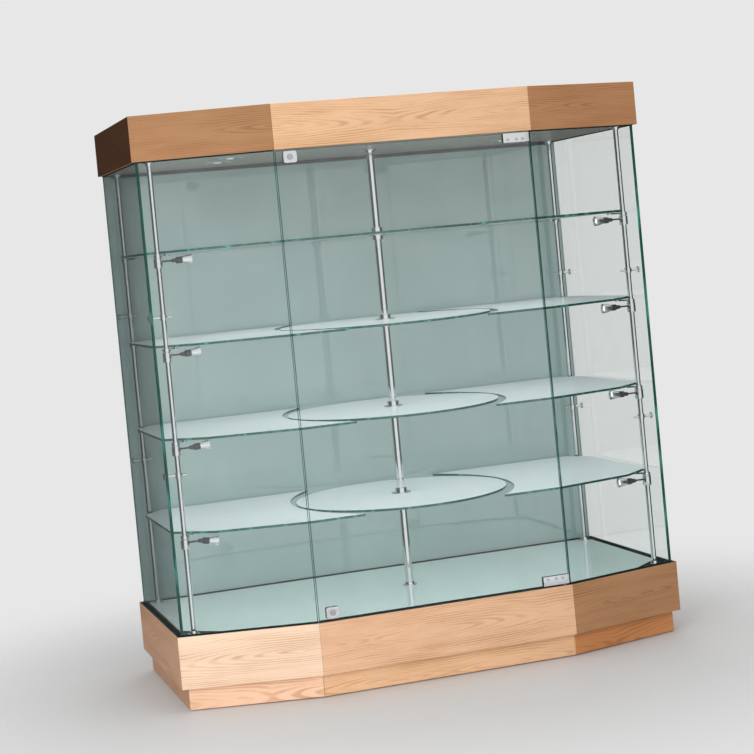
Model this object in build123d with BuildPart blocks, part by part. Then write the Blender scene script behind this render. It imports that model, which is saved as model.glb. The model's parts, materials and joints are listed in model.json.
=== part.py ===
"""Tower display case: oak plinth, base and canopy, bowed glass front with a hinged
centre door, four levels of glass shelves on chrome poles, and pole-mounted spotlights.

Millimetres, +Z up, front towards -Y, origin on the floor under the middle of the case.
"""

import os
from math import hypot

from build123d import *

# Overall outline: a box whose front bows out in three facets
HEIGHT = 1980
HALF_WIDTH = 911
HALF_DEPTH = 436
CENTRE_HALF = 456
BOW = 119

# Heights of the storeys
FOOT_GAP = 3
PLINTH_TOP = 78
BASE_TOP = 253
CANOPY_BOTTOM = 1828

# Woodwork
FASCIA = 28
PLINTH_INSET = 24
PLINTH_BOARD = 18
BOARD = 18
MITRE_GAP = 0.2
DECK_THICK = 6
DECK_INSET = 38

# Levelling feet
FOOT_RADIUS = 26
FOOT_PAD = 9
FOOT_CHAMFER = 2
FOOT_ROD_RADIUS = 5
FOOT_X = 760
FOOT_BACK_Y = 330
FOOT_FRONT_Y = -240

# Glass walls and door
GLASS = 10
GLASS_INSET = 14
GLASS_INNER = GLASS_INSET + GLASS
GASKET = 3
GASKET_OVERHANG = 1
RAIL_GAP = 1
GLASS_BOTTOM = BASE_TOP + GASKET
GLASS_TOP = CANOPY_BOTTOM - GASKET
CORNER_GAP = 1
DOOR_HALF = 450
DOOR_GAP = 4.5
DOOR_BOTTOM = BASE_TOP + DOOR_GAP
DOOR_TOP = CANOPY_BOTTOM - DOOR_GAP
DOOR_OUTER_Y = GLASS_INSET - HALF_DEPTH
DOOR_INNER_Y = GLASS_INNER - HALF_DEPTH
DOOR_MID_Y = (DOOR_OUTER_Y + DOOR_INNER_Y) / 2

# Pivot patches at the door's right-hand corners
PATCH_LENGTH = 95
PATCH_HEIGHT = 32
PATCH_PLATE = 5
PATCH_SLACK = 4
SCREW_RISE = 22
SCREW_RADIUS = 5
SCREW_HEAD = 2
SCREW_SOCKET = 2.5
SCREW_OFFSETS = (-PATCH_LENGTH / 3, 0, PATCH_LENGTH / 4)
PATCH_CORE = 14
PATCH_EDGE = DOOR_HALF - 1
PIVOT_X = 432
PIN_RADIUS = 4
PIN_CLEARANCE = 0.05
PIN_REACH = 11
PIN_BORE = 16
PIVOT_FLANGE_RADIUS = 13
PIVOT_FLANGE = 2.3

# Corner locks at the door's left-hand corners
LOCK_X = -402
LOCK_WIDTH = 47
LOCK_HEIGHT = 40
LOCK_RISE = 22
LOCK_FRONT = 6
LOCK_BACK = 5
LOCK_HOLE_RADIUS = 12
CYLINDER_RADIUS = 9
CYLINDER_PROUD = 3
KEYWAY = (2, 9)
CAM_CORNER = 4
CAM_THICK = 3.5
CAM_WIDTH = 14
CAM_REACH = 29.5

# Poles
POLE_RADIUS = 9
CENTRE_POLE_RADIUS = 14
POLE_X = 845
FLANGE_RIM = 12
FLANGE_THICK = 4
FLANGE_SLEEVE = 4
FLANGE_HEIGHT = 12
POLE_FRONT_Y = -267
POLE_BACK_Y = 363
SLIP = 0.3

# Shelves
SHELF_FIRST = 589
SHELF_PITCH = 313.5
SHELF_LEVELS = 4
SHELF_THICK = 8
SHELF_INSET = 39
SHELF_BACK_Y = 380
SHELF_FRONT_Y = SHELF_INSET - HALF_DEPTH
SHELF_MID_Y = (SHELF_FRONT_Y + SHELF_BACK_Y) / 2
SHELF_TIP_X = 250
SHELF_WAIST_X = 393
CHAMFER_FACET = 125
CHAMFER_SIDE = 75
CHAMFER_BACK_X = 72
CHAMFER_BACK_Y = 90
DISC_RADIUS = 380
DISC_EASE = 1
HUB_FLANGE_LAP = 1
HUB_RADIUS = 21
HUB_FLANGE_RADIUS = 36
HUB_HALF_HEIGHT = 18
HUB_FLANGE = 3

# Pole fittings
BRACKET_RADIUS = 14
BRACKET_HEIGHT = 11
BRACKET_ARM = 52
BRACKET_ARM_WIDTH = 10
BRACKET_ARM_THICK = 5
PAD_RADIUS = 9
PAD_THICK = 2
PAD_LIP = 1
CONNECTOR_HEIGHTS = (782, 1310)
CONNECTOR_RADIUS = 12
CONNECTOR_HEIGHT = 18
CONNECTOR_ROD = 4
CONNECTOR_STUB = 28
CONNECTOR_PAD_RADIUS = 11
CONNECTOR_PAD = 4

# Spotlights: one under each shelf on both front poles
SPOT_COLLAR_RADIUS = 15
SPOT_COLLAR_HEIGHT = 32
SPOT_DROP = 15
SPOT_STEM_RADIUS = 3
SPOT_PIVOT = 50
SPOT_EYE_RADIUS = 7
SPOT_EYE_FLAT = 0.3
SPOT_EYE_THICK = 5
SPOT_EYE_GAP = 0.3
SPOT_EAR = 3.5
SPOT_PIN_RADIUS = 2
SPOT_BARREL_START = 9
SPOT_BARREL_END = 31
SPOT_BARREL_RADIUS = 11
SPOT_BELL_END = 62
SPOT_BELL_RADIUS = 17.5
SPOT_BELL_WALL = 1.6
SPOT_BELL_BEND = (45, 14.5)
SPOT_WELL_BEND = (46, 12.4)
SPOT_WELL_FOOT = (33, 8)
SPOT_CHAMFER = 2
SPOT_EAR_LAP = 1
SPOT_EAR_RADIUS = 6.5
SPOT_AIM_LEFT = (-7, 3, 3, 0)
SPOT_AIM_RIGHT = (0, 3, 0, 0)

# Canopy fittings
DOWNLIGHT_X = 540
DOWNLIGHT_Y = (-150, 60)
DOWNLIGHT_RADIUS = 36
DOWNLIGHT_RIM = 45
DOWNLIGHT_DEPTH = 30
LAMP_RADIUS = 24
DRIVER_SIZE = (180, 60, 30)
RAIL_HEIGHT = 12
RAIL_DEPTH = 8
RAIL_HALF = 860
DOWNLIGHT_LIP = 3
DOWNLIGHT_BEVEL = 6
DOWNLIGHT_MOUTH = 4
DOWNLIGHT_SEAT = 8
DOWNLIGHT_SLACK = 1
LAMP_THICK = 6
DRIVER_CORNER = 4
TOP_RECESS = 2
STRIKE_SLOT = (88.5, 36)

# The outline's corners, anticlockwise seen from above
OUTLINE = [
    (-HALF_WIDTH, HALF_DEPTH),
    (-HALF_WIDTH, BOW - HALF_DEPTH),
    (-CENTRE_HALF, -HALF_DEPTH),
    (CENTRE_HALF, -HALF_DEPTH),
    (HALF_WIDTH, BOW - HALF_DEPTH),
    (HALF_WIDTH, HALF_DEPTH),
]
SIDE_LEFT, FACET_LEFT, FRONT, FACET_RIGHT, SIDE_RIGHT, BACK = range(6)


def edge_direction(index):
    """Unit vector along one edge of the outline."""
    x0, y0 = OUTLINE[index]
    x1, y1 = OUTLINE[(index + 1) % len(OUTLINE)]
    length = hypot(x1 - x0, y1 - y0)
    return (x1 - x0) / length, (y1 - y0) / length


def inset_corner(index, distance):
    """The outline's corner after both edges at it move inwards by the distance."""
    ax, ay = edge_direction(index - 1)
    bx, by = edge_direction(index % len(OUTLINE))
    share = distance / (1 + ax * bx + ay * by)
    x, y = OUTLINE[index % len(OUTLINE)]
    return x - share * (ay + by), y + share * (ax + bx)


def inset_outline(distance):
    """All six corners of the outline, moved inwards."""
    return [inset_corner(index, distance) for index in range(len(OUTLINE))]


def wall_corners(index, outer, inner, gap):
    """Plan of a wall along one edge between two insets, short of each mitre by the gap."""
    dx, dy = edge_direction(index)
    start_outer, start_inner = inset_corner(index, outer), inset_corner(index, inner)
    end_outer, end_inner = inset_corner(index + 1, outer), inset_corner(index + 1, inner)
    return [
        (start_outer[0] + gap * dx, start_outer[1] + gap * dy),
        (end_outer[0] - gap * dx, end_outer[1] - gap * dy),
        (end_inner[0] - gap * dx, end_inner[1] - gap * dy),
        (start_inner[0] + gap * dx, start_inner[1] + gap * dy),
    ]


def save(builder, label):
    """Label a finished piece and write its STEP file."""
    builder.part.label = label
    export_step(builder.part, f"parts/{label}.step")


def walls(label, edges, outer, inner, gap, bottom, top):
    """One or more upright boards or panes that follow the outline."""
    with BuildPart() as piece:
        for index in edges:
            with BuildSketch(Plane.XY.offset(bottom)):
                Polygon(*wall_corners(index, outer, inner, gap), align=None)
            extrude(amount=top - bottom)
    save(piece, label)


def outline_board(label, inset, bottom, thick):
    """A flat board that fills the outline."""
    with BuildPart() as piece:
        with BuildSketch(Plane.XY.offset(bottom)):
            Polygon(*inset_outline(inset), align=None)
        extrude(amount=thick)
    save(piece, label)


def shelf_top(level):
    """Height of the top face of a shelf, counting levels upwards from 0."""
    return SHELF_FIRST + SHELF_PITCH * level


def pole_places():
    """The four corner poles as (x side, y)."""
    return [(side, y) for y in (POLE_FRONT_Y, POLE_BACK_Y) for side in (-1, 1)]


def pole_bottom(y):
    """Front poles stand on the floor board in front of the deck, the others on the deck."""
    return BASE_TOP - DECK_THICK if y == POLE_FRONT_Y else BASE_TOP


def make_feet_and_plinth():
    """Levelling feet and the recessed plinth around them."""
    places = [(side * FOOT_X, y) for side in (-1, 0, 1) for y in (FOOT_BACK_Y, FOOT_FRONT_Y)]
    with BuildPart() as feet:
        with BuildSketch():
            with Locations(*places):
                Circle(FOOT_RADIUS)
        extrude(amount=FOOT_PAD)
        chamfer(feet.faces().sort_by(Axis.Z)[-1].edges(), FOOT_CHAMFER)
        with BuildSketch(Plane.XY.offset(FOOT_PAD)):
            with Locations(*places):
                Circle(FOOT_ROD_RADIUS)
        extrude(amount=PLINTH_TOP - FOOT_PAD)
    save(feet, "levelling_feet")
    plinth_inner = PLINTH_INSET + PLINTH_BOARD
    walls("plinth_frame", range(6), PLINTH_INSET, plinth_inner, MITRE_GAP, FOOT_GAP, PLINTH_TOP)


def make_fascia(storey, bottom, top):
    """The mitred veneered boards around the base or the canopy."""
    groups = {
        "front_board": (FRONT,),
        "facet_boards": (FACET_LEFT, FACET_RIGHT),
        "side_boards": (SIDE_LEFT, SIDE_RIGHT),
        "back_board": (BACK,),
    }
    for name, edges in groups.items():
        walls(f"{storey}_{name}", edges, 0, FASCIA, 0, bottom, top)


def make_base():
    """Base box: fascia, bottom board, floor board, and the glossy deck on top."""
    make_fascia("base", PLINTH_TOP, BASE_TOP)
    inside = FASCIA + MITRE_GAP
    outline_board("base_bottom_board", inside, PLINTH_TOP, BOARD)
    deck_bottom = BASE_TOP - DECK_THICK
    outline_board("base_floor_board", inside, deck_bottom - BOARD, BOARD)
    with BuildPart() as deck:
        with BuildSketch(Plane.XY.offset(deck_bottom)):
            with BuildLine():
                Polyline(*deck_points(), close=True)
            make_face()
        extrude(amount=DECK_THICK)
    save(deck, "deck_panel")


def chamfered_corner(inset, side):
    """The two points where a flat panel's front corner is cut off to pass the pole."""
    corner = inset_corner(4, inset)
    dx, dy = edge_direction(FACET_RIGHT)
    on_facet = (corner[0] - CHAMFER_FACET * dx, corner[1] - CHAMFER_FACET * dy)
    on_side = (corner[0], corner[1] + CHAMFER_SIDE)
    return (side * on_facet[0], on_facet[1]), (side * on_side[0], on_side[1])


def deck_points():
    """Plan of the deck: the outline with its front corners cut off around the poles."""
    back_x, back_y = inset_corner(5, DECK_INSET)
    vertex = inset_corner(3, DECK_INSET)
    right_facet, right_side = chamfered_corner(DECK_INSET, 1)
    left_facet, left_side = chamfered_corner(DECK_INSET, -1)
    return [
        (-back_x, back_y),
        left_side,
        left_facet,
        (-vertex[0], vertex[1]),
        vertex,
        right_facet,
        right_side,
        (back_x, back_y),
    ]


def make_canopy():
    """Canopy box: fascia, top board, and the ceiling with its cut-outs."""
    make_fascia("canopy", CANOPY_BOTTOM, HEIGHT)
    inside = FASCIA + MITRE_GAP
    outline_board("canopy_top_board", inside, HEIGHT - BOARD - TOP_RECESS, BOARD)
    with BuildPart() as ceiling:
        with BuildSketch(Plane.XY.offset(CANOPY_BOTTOM)):
            Polygon(*inset_outline(inside), align=None)
            with Locations(*downlight_places()):
                Circle(DOWNLIGHT_RADIUS + DOWNLIGHT_SLACK, mode=Mode.SUBTRACT)
            # Strike slot that the upper lock's cam turns into
            with Locations((LOCK_X, inside - HALF_DEPTH)):
                Rectangle(*STRIKE_SLOT, mode=Mode.SUBTRACT)
        extrude(amount=BOARD)
    save(ceiling, "ceiling_board")
    with BuildPart() as driver:
        with Locations((0, 0, CANOPY_BOTTOM + BOARD + DRIVER_SIZE[2] / 2)):
            Box(*DRIVER_SIZE)
        fillet(driver.edges().filter_by(Axis.Z), DRIVER_CORNER)
    save(driver, "led_driver")


def downlight_places():
    """Plan positions of the recessed ceiling lights."""
    return [(side * DOWNLIGHT_X, y) for side in (-1, 1) for y in DOWNLIGHT_Y]


def make_downlights():
    """Recessed lights: a rim with a tapered well, and a lamp at its end."""
    lamp_bottom = CANOPY_BOTTOM + DOWNLIGHT_DEPTH - DOWNLIGHT_SEAT
    well_radius = LAMP_RADIUS + DOWNLIGHT_SLACK
    lip = CANOPY_BOTTOM - DOWNLIGHT_LIP
    with BuildPart() as trims:
        for x, y in downlight_places():
            with BuildSketch(Plane.XZ.offset(-y)):
                with BuildLine():
                    Polyline(
                        (x + DOWNLIGHT_RIM - DOWNLIGHT_BEVEL, lip),
                        (x + DOWNLIGHT_RIM, CANOPY_BOTTOM),
                        (x + DOWNLIGHT_RADIUS, CANOPY_BOTTOM),
                        (x + DOWNLIGHT_RADIUS, CANOPY_BOTTOM + DOWNLIGHT_DEPTH),
                        (x + well_radius, CANOPY_BOTTOM + DOWNLIGHT_DEPTH),
                        (x + well_radius, lamp_bottom),
                        (x + DOWNLIGHT_RADIUS - DOWNLIGHT_MOUTH, lip),
                        close=True,
                    )
                make_face()
            revolve(axis=Axis((x, y, 0), (0, 0, 1)))
    save(trims, "downlight_trims")
    with BuildPart() as lamps:
        with BuildSketch(Plane.XY.offset(lamp_bottom)):
            with Locations(*downlight_places()):
                Circle(LAMP_RADIUS)
        extrude(amount=LAMP_THICK)
    save(lamps, "downlight_lamps")


def make_glass_walls():
    """Fixed panes, the tinted back panel, its top rail and the rubber channels."""
    panes = {
        "glass_side_left": SIDE_LEFT,
        "glass_facet_left": FACET_LEFT,
        "glass_facet_right": FACET_RIGHT,
        "glass_side_right": SIDE_RIGHT,
        "back_panel": BACK,
    }
    for name, index in panes.items():
        walls(name, (index,), GLASS_INSET, GLASS_INNER, CORNER_GAP, GLASS_BOTTOM, GLASS_TOP)
    with BuildPart() as gaskets:
        for bottom in (BASE_TOP, GLASS_TOP):
            for index in panes.values():
                with BuildSketch(Plane.XY.offset(bottom)):
                    outer, inner = GLASS_INSET - GASKET_OVERHANG, GLASS_INNER + GASKET_OVERHANG
                    plan = wall_corners(index, outer, inner, CORNER_GAP)
                    Polygon(*plan, align=None)
                extrude(amount=GASKET)
    save(gaskets, "glass_gaskets")
    with BuildPart() as rail:
        rail_y = HALF_DEPTH - GLASS_INNER - RAIL_GAP - RAIL_DEPTH / 2
        with Locations((0, rail_y, CANOPY_BOTTOM - RAIL_HEIGHT / 2)):
            Box(2 * RAIL_HALF, RAIL_DEPTH, RAIL_HEIGHT)
    save(rail, "back_panel_rail")


def make_poles():
    """Corner poles, centre pole and their end flanges."""
    for name, y in (("poles_front", POLE_FRONT_Y), ("poles_back", POLE_BACK_Y)):
        with BuildPart() as pair:
            with BuildSketch(Plane.XY.offset(pole_bottom(y))):
                with Locations((-POLE_X, y), (POLE_X, y)):
                    Circle(POLE_RADIUS)
            extrude(amount=CANOPY_BOTTOM - pole_bottom(y))
        save(pair, name)
    with BuildPart() as centre:
        with BuildSketch(Plane.XY.offset(BASE_TOP)):
            with Locations((0, SHELF_MID_Y)):
                Circle(CENTRE_POLE_RADIUS)
        extrude(amount=CANOPY_BOTTOM - BASE_TOP)
    save(centre, "pole_centre")
    places = [(side * POLE_X, y, POLE_RADIUS) for side, y in pole_places()]
    places.append((0, SHELF_MID_Y, CENTRE_POLE_RADIUS))
    with BuildPart() as flanges:
        for x, y, radius in places:
            for start, way in ((pole_bottom(y), 1), (CANOPY_BOTTOM, -1)):
                for rim, height in ((FLANGE_RIM, FLANGE_THICK), (FLANGE_SLEEVE, FLANGE_HEIGHT)):
                    with BuildSketch(Plane.XY.offset(start)):
                        with Locations((x, y)):
                            Circle(radius + rim)
                            Circle(radius + SLIP, mode=Mode.SUBTRACT)
                    extrude(amount=way * height)
    save(flanges, "pole_flanges")


def make_side_shelf(label, side, top):
    """Glass shelf with cut corners at the poles and a hollow edge facing the disc."""
    vertex = inset_corner(3, SHELF_INSET)
    on_facet, on_side = chamfered_corner(SHELF_INSET, side)
    back_x = abs(on_side[0])
    tip_front = (side * SHELF_TIP_X, SHELF_FRONT_Y)
    tip_back = (side * SHELF_TIP_X, SHELF_BACK_Y)
    with BuildPart() as shelf:
        with BuildSketch(Plane.XY.offset(top)):
            with BuildLine():
                Polyline(
                    tip_front,
                    (side * vertex[0], vertex[1]),
                    on_facet,
                    on_side,
                    (side * back_x, SHELF_BACK_Y - CHAMFER_BACK_Y),
                    (side * (back_x - CHAMFER_BACK_X), SHELF_BACK_Y),
                    tip_back,
                )
                ThreePointArc(tip_back, (side * SHELF_WAIST_X, SHELF_MID_Y), tip_front)
            make_face()
        extrude(amount=-SHELF_THICK)
    save(shelf, label)


def make_disc(label, top):
    """Round glass shelf on the centre pole."""
    with BuildPart() as disc:
        with BuildSketch(Plane.XY.offset(top)):
            with Locations((0, SHELF_MID_Y)):
                Circle(DISC_RADIUS)
                Circle(HUB_RADIUS + SLIP, mode=Mode.SUBTRACT)
        extrude(amount=-SHELF_THICK)
        fillet(disc.edges().group_by(Axis.Z)[-1].sort_by(SortBy.LENGTH)[-1], DISC_EASE)
    save(disc, label)


def make_shelves():
    """Left, right and round shelves on every level, and the hubs of the discs."""
    for level in range(SHELF_LEVELS):
        make_side_shelf(f"shelf_left_{level + 1}", -1, shelf_top(level))
        make_side_shelf(f"shelf_right_{level + 1}", 1, shelf_top(level))
        make_disc(f"shelf_disc_{level + 1}", shelf_top(level))
    # Each hub is a sleeve with the flange that the disc rests on, and a clamp ring above
    rings = (
        (-SHELF_THICK - HUB_HALF_HEIGHT, HUB_HALF_HEIGHT, HUB_RADIUS, CENTRE_POLE_RADIUS + SLIP),
        (-SHELF_THICK - HUB_FLANGE, -SHELF_THICK, HUB_FLANGE_RADIUS, HUB_RADIUS - HUB_FLANGE_LAP),
        (0, HUB_FLANGE, HUB_FLANGE_RADIUS, HUB_RADIUS + SLIP),
    )
    with BuildPart() as hubs:
        for level in range(SHELF_LEVELS):
            for bottom, top, outer, inner in rings:
                with BuildSketch(Plane.XY.offset(shelf_top(level) + bottom)):
                    with Locations((0, SHELF_MID_Y)):
                        Circle(outer)
                        Circle(inner, mode=Mode.SUBTRACT)
                extrude(amount=top - bottom)
    save(hubs, "disc_hubs")


def make_brackets():
    """Clamps on the corner poles whose arms and pads carry the side shelves."""
    with BuildPart() as brackets:
        for level in range(SHELF_LEVELS):
            seat = shelf_top(level) - SHELF_THICK
            for side, y in pole_places():
                x = side * POLE_X
                reach = Vector(-side, 1 if y < 0 else -1).normalized() * BRACKET_ARM
                arm_end = (x + reach.X, y + reach.Y)
                with BuildSketch(Plane.XY.offset(seat - PAD_THICK - BRACKET_HEIGHT)):
                    with Locations((x, y)):
                        Circle(BRACKET_RADIUS)
                extrude(amount=BRACKET_HEIGHT)
                with BuildSketch(Plane.XY.offset(seat - PAD_THICK)):
                    with BuildLine():
                        Line((x, y), arm_end)
                    trace(line_width=BRACKET_ARM_WIDTH)
                    with Locations(arm_end):
                        Circle(PAD_RADIUS)
                extrude(amount=-BRACKET_ARM_THICK)
                with BuildSketch(Plane.XY.offset(seat - PAD_THICK)):
                    with Locations(arm_end):
                        Circle(PAD_RADIUS - PAD_LIP)
                extrude(amount=PAD_THICK)
        with BuildSketch(Plane.XY.offset(BASE_TOP)):
            with Locations(*[(side * POLE_X, y) for side, y in pole_places()]):
                Circle(POLE_RADIUS + SLIP)
        extrude(amount=CANOPY_BOTTOM - BASE_TOP, mode=Mode.SUBTRACT)
    save(brackets, "shelf_brackets")


def make_connectors():
    """Stand-offs between the poles and the side panes."""
    pane_x = HALF_WIDTH - GLASS_INNER
    with BuildPart() as connectors:
        for side, y in pole_places():
            for height in CONNECTOR_HEIGHTS:
                x = side * POLE_X
                with BuildSketch(Plane.XY.offset(height - CONNECTOR_HEIGHT / 2)):
                    with Locations((x, y)):
                        Circle(CONNECTOR_RADIUS)
                extrude(amount=CONNECTOR_HEIGHT)
                rod_start = Plane(origin=(x - side * CONNECTOR_STUB, y, height), z_dir=(side, 0, 0))
                with BuildSketch(rod_start):
                    Circle(CONNECTOR_ROD)
                extrude(amount=pane_x - POLE_X + CONNECTOR_STUB)
                with BuildSketch(Plane(origin=(side * pane_x, y, height), z_dir=(-side, 0, 0))):
                    Circle(CONNECTOR_PAD_RADIUS)
                extrude(amount=CONNECTOR_PAD)
        with BuildSketch(Plane.XY.offset(BASE_TOP)):
            with Locations(*[(side * POLE_X, y) for side, y in pole_places()]):
                Circle(POLE_RADIUS + SLIP)
        extrude(amount=CANOPY_BOTTOM - BASE_TOP, mode=Mode.SUBTRACT)
    save(connectors, "glass_connectors")


def spot_pivot(side, level):
    """Point about which a spotlight's head tilts."""
    collar_top = shelf_top(level) - SHELF_THICK - SPOT_DROP
    return Vector(side * (POLE_X - SPOT_PIVOT), POLE_FRONT_Y, collar_top - SPOT_COLLAR_HEIGHT / 3)


def make_spot_collars():
    """Collars on the front poles, each with a stem that ends in a pivot eye."""
    with BuildPart() as collars:
        for side in (-1, 1):
            for level in range(SHELF_LEVELS):
                pivot = spot_pivot(side, level)
                collar_top = shelf_top(level) - SHELF_THICK - SPOT_DROP
                with BuildSketch(Plane.XY.offset(collar_top - SPOT_COLLAR_HEIGHT)):
                    with Locations((side * POLE_X, POLE_FRONT_Y)):
                        Circle(SPOT_COLLAR_RADIUS)
                extrude(amount=SPOT_COLLAR_HEIGHT)
                stem_foot = Plane(origin=pivot, z_dir=(side, 0, 0))
                with BuildSketch(stem_foot.offset(SPOT_EYE_RADIUS - SPOT_EYE_FLAT)):
                    Circle(SPOT_STEM_RADIUS)
                extrude(amount=SPOT_PIVOT - SPOT_EYE_RADIUS)
                with BuildSketch(Plane(origin=pivot, z_dir=(0, 1, 0))):
                    Circle(SPOT_EYE_RADIUS)
                extrude(amount=SPOT_EYE_THICK / 2, both=True)
                with BuildSketch(Plane(origin=pivot, z_dir=(0, 1, 0))):
                    Circle(SPOT_PIN_RADIUS + PIN_CLEARANCE)
                extrude(amount=SPOT_EYE_THICK, both=True, mode=Mode.SUBTRACT)
        with BuildSketch(Plane.XY.offset(BASE_TOP)):
            with Locations((-POLE_X, POLE_FRONT_Y), (POLE_X, POLE_FRONT_Y)):
                Circle(POLE_RADIUS + SLIP)
        extrude(amount=CANOPY_BOTTOM - BASE_TOP, mode=Mode.SUBTRACT)
    save(collars, "spot_collars")


def make_spot_head(label, side, level, aim_angle):
    """Lamp head: forked tail with its pin, barrel and flared bell, aimed about the pivot."""
    pivot = spot_pivot(side, level)
    aim = Vector(-side, 0, 0).rotate(Axis.Y, side * aim_angle)
    profile = Plane(origin=pivot, x_dir=aim, z_dir=(0, side, 0))
    ear_inner = SPOT_EYE_THICK / 2 + SPOT_EYE_GAP
    ear_outer = ear_inner + SPOT_EAR
    bell_inner = SPOT_BELL_RADIUS - SPOT_BELL_WALL
    with BuildPart() as head:
        with BuildSketch(profile):
            with BuildLine():
                Polyline(
                    (SPOT_BARREL_START, 0),
                    (SPOT_BARREL_START, SPOT_BARREL_RADIUS - SPOT_CHAMFER),
                    (SPOT_BARREL_START + SPOT_CHAMFER, SPOT_BARREL_RADIUS),
                    (SPOT_BARREL_END, SPOT_BARREL_RADIUS),
                )
                bell = Spline(
                    (SPOT_BARREL_END, SPOT_BARREL_RADIUS),
                    SPOT_BELL_BEND,
                    (SPOT_BELL_END, SPOT_BELL_RADIUS),
                )
                Polyline(bell @ 1, (SPOT_BELL_END, bell_inner))
                well = Spline(
                    (SPOT_BELL_END, bell_inner),
                    SPOT_WELL_BEND,
                    SPOT_WELL_FOOT,
                )
                Polyline(well @ 1, (SPOT_WELL_FOOT[0], 0), (SPOT_BARREL_START, 0))
            make_face()
        revolve(axis=Axis(pivot, aim))
        for way in (-1, 1):
            with BuildSketch(profile.offset(way * ear_inner)):
                with BuildLine():
                    Line((0, 0), (SPOT_BARREL_START + SPOT_EAR_LAP, 0))
                trace(line_width=2 * SPOT_EAR_RADIUS)
                Circle(SPOT_EAR_RADIUS)
            extrude(amount=way * SPOT_EAR)
        with BuildSketch(profile.offset(-ear_outer)):
            Circle(SPOT_PIN_RADIUS)
        extrude(amount=2 * ear_outer)
    save(head, label)


def make_spotlights():
    """Collars and the eight lamp heads."""
    make_spot_collars()
    for name, side, aims in (("left", -1, SPOT_AIM_LEFT), ("right", 1, SPOT_AIM_RIGHT)):
        for level, angle in enumerate(aims):
            make_spot_head(f"spot_head_{name}_{level + 1}", side, level, angle)


def end_heights(rise):
    """Heights of a fitting at the door's lower and upper ends."""
    return DOOR_BOTTOM + rise, DOOR_TOP - rise


def make_door_glass():
    """Door pane with notches for the pivot patches and holes for the locks."""
    with BuildPart() as pane:
        with BuildSketch(Plane.XZ.offset(-DOOR_INNER_Y)):
            with Locations((0, (DOOR_BOTTOM + DOOR_TOP) / 2)):
                Rectangle(2 * DOOR_HALF, DOOR_TOP - DOOR_BOTTOM)
            notch_x = DOOR_HALF - PATCH_LENGTH / 2
            with Locations(*[(notch_x, z) for z in end_heights(0)]):
                Rectangle(PATCH_LENGTH + PATCH_SLACK, 2 * PATCH_CORE, mode=Mode.SUBTRACT)
            with Locations(*[(LOCK_X, z) for z in end_heights(LOCK_RISE)]):
                Circle(LOCK_HOLE_RADIUS, mode=Mode.SUBTRACT)
        extrude(amount=GLASS)
    save(pane, "door_glass")


def make_hinges():
    """Patches clamped on the door's right-hand corners and the fixed pins they turn on."""
    patch_x = PATCH_EDGE - PATCH_LENGTH / 2
    thick = GLASS + 2 * PATCH_PLATE
    with BuildPart() as patches:
        for height, way in zip(end_heights(0), (1, -1)):
            with Locations((patch_x, DOOR_MID_Y, height + way * PATCH_HEIGHT / 2)):
                Box(PATCH_LENGTH, thick, PATCH_HEIGHT)
            slot_middle = height + way * (PATCH_CORE + PATCH_HEIGHT) / 2
            with Locations((patch_x, DOOR_MID_Y, slot_middle)):
                Box(PATCH_LENGTH, GLASS, PATCH_HEIGHT - PATCH_CORE, mode=Mode.SUBTRACT)
            with Locations((PIVOT_X, DOOR_MID_Y, height)):
                Cylinder(PIN_RADIUS + PIN_CLEARANCE, PIN_BORE, mode=Mode.SUBTRACT)
    save(patches, "hinge_patches")
    with BuildPart() as pivots:
        for start, way in ((BASE_TOP, 1), (CANOPY_BOTTOM, -1)):
            with BuildSketch(Plane.XY.offset(start)):
                with Locations((PIVOT_X, DOOR_MID_Y)):
                    Circle(PIVOT_FLANGE_RADIUS)
            extrude(amount=way * PIVOT_FLANGE)
            with BuildSketch(Plane.XY.offset(start)):
                with Locations((PIVOT_X, DOOR_MID_Y)):
                    Circle(PIN_RADIUS)
            extrude(amount=way * PIN_REACH)
    save(pivots, "hinge_pivots")


def make_lock_bodies():
    """Square lock cases clamped through the door's left-hand corners."""
    with BuildPart() as bodies:
        for height in end_heights(LOCK_RISE):
            with Locations((LOCK_X, DOOR_OUTER_Y - LOCK_FRONT / 2, height)):
                Box(LOCK_WIDTH, LOCK_FRONT, LOCK_HEIGHT)
            with Locations((LOCK_X, DOOR_INNER_Y + LOCK_BACK / 2, height)):
                Box(LOCK_WIDTH, LOCK_BACK, LOCK_HEIGHT)
            with BuildSketch(Plane(origin=(LOCK_X, DOOR_OUTER_Y, height), z_dir=(0, 1, 0))):
                Circle(LOCK_HOLE_RADIUS - SLIP)
            extrude(amount=GLASS)
            with BuildSketch(Plane(origin=(LOCK_X, DOOR_OUTER_Y, height), z_dir=(0, 1, 0))):
                Circle(CYLINDER_RADIUS + PIN_CLEARANCE)
            extrude(amount=2 * GLASS, both=True, mode=Mode.SUBTRACT)
    save(bodies, "lock_bodies")


def make_lock_cylinder(label, height):
    """Key cylinder with a keyway in front and a cam behind the case."""
    front = DOOR_OUTER_Y - LOCK_FRONT - CYLINDER_PROUD
    cam_front = DOOR_INNER_Y + LOCK_BACK + SLIP
    with BuildPart() as cylinder:
        with BuildSketch(Plane(origin=(LOCK_X, front, height), z_dir=(0, 1, 0))):
            Circle(CYLINDER_RADIUS)
        extrude(amount=cam_front - front)
        with BuildSketch(Plane(origin=(LOCK_X, front, height), z_dir=(0, 1, 0))):
            Rectangle(*KEYWAY)
        extrude(amount=CYLINDER_PROUD, mode=Mode.SUBTRACT)
        cam_middle = CAM_REACH / 2 - CAM_WIDTH / 4
        with Locations((LOCK_X + cam_middle, cam_front + CAM_THICK / 2, height)):
            Box(CAM_REACH + CAM_WIDTH / 2, CAM_THICK, CAM_WIDTH)
        fillet(cylinder.edges().filter_by(Axis.Y).group_by(Axis.X)[-1], CAM_CORNER)
    save(cylinder, label)


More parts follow.
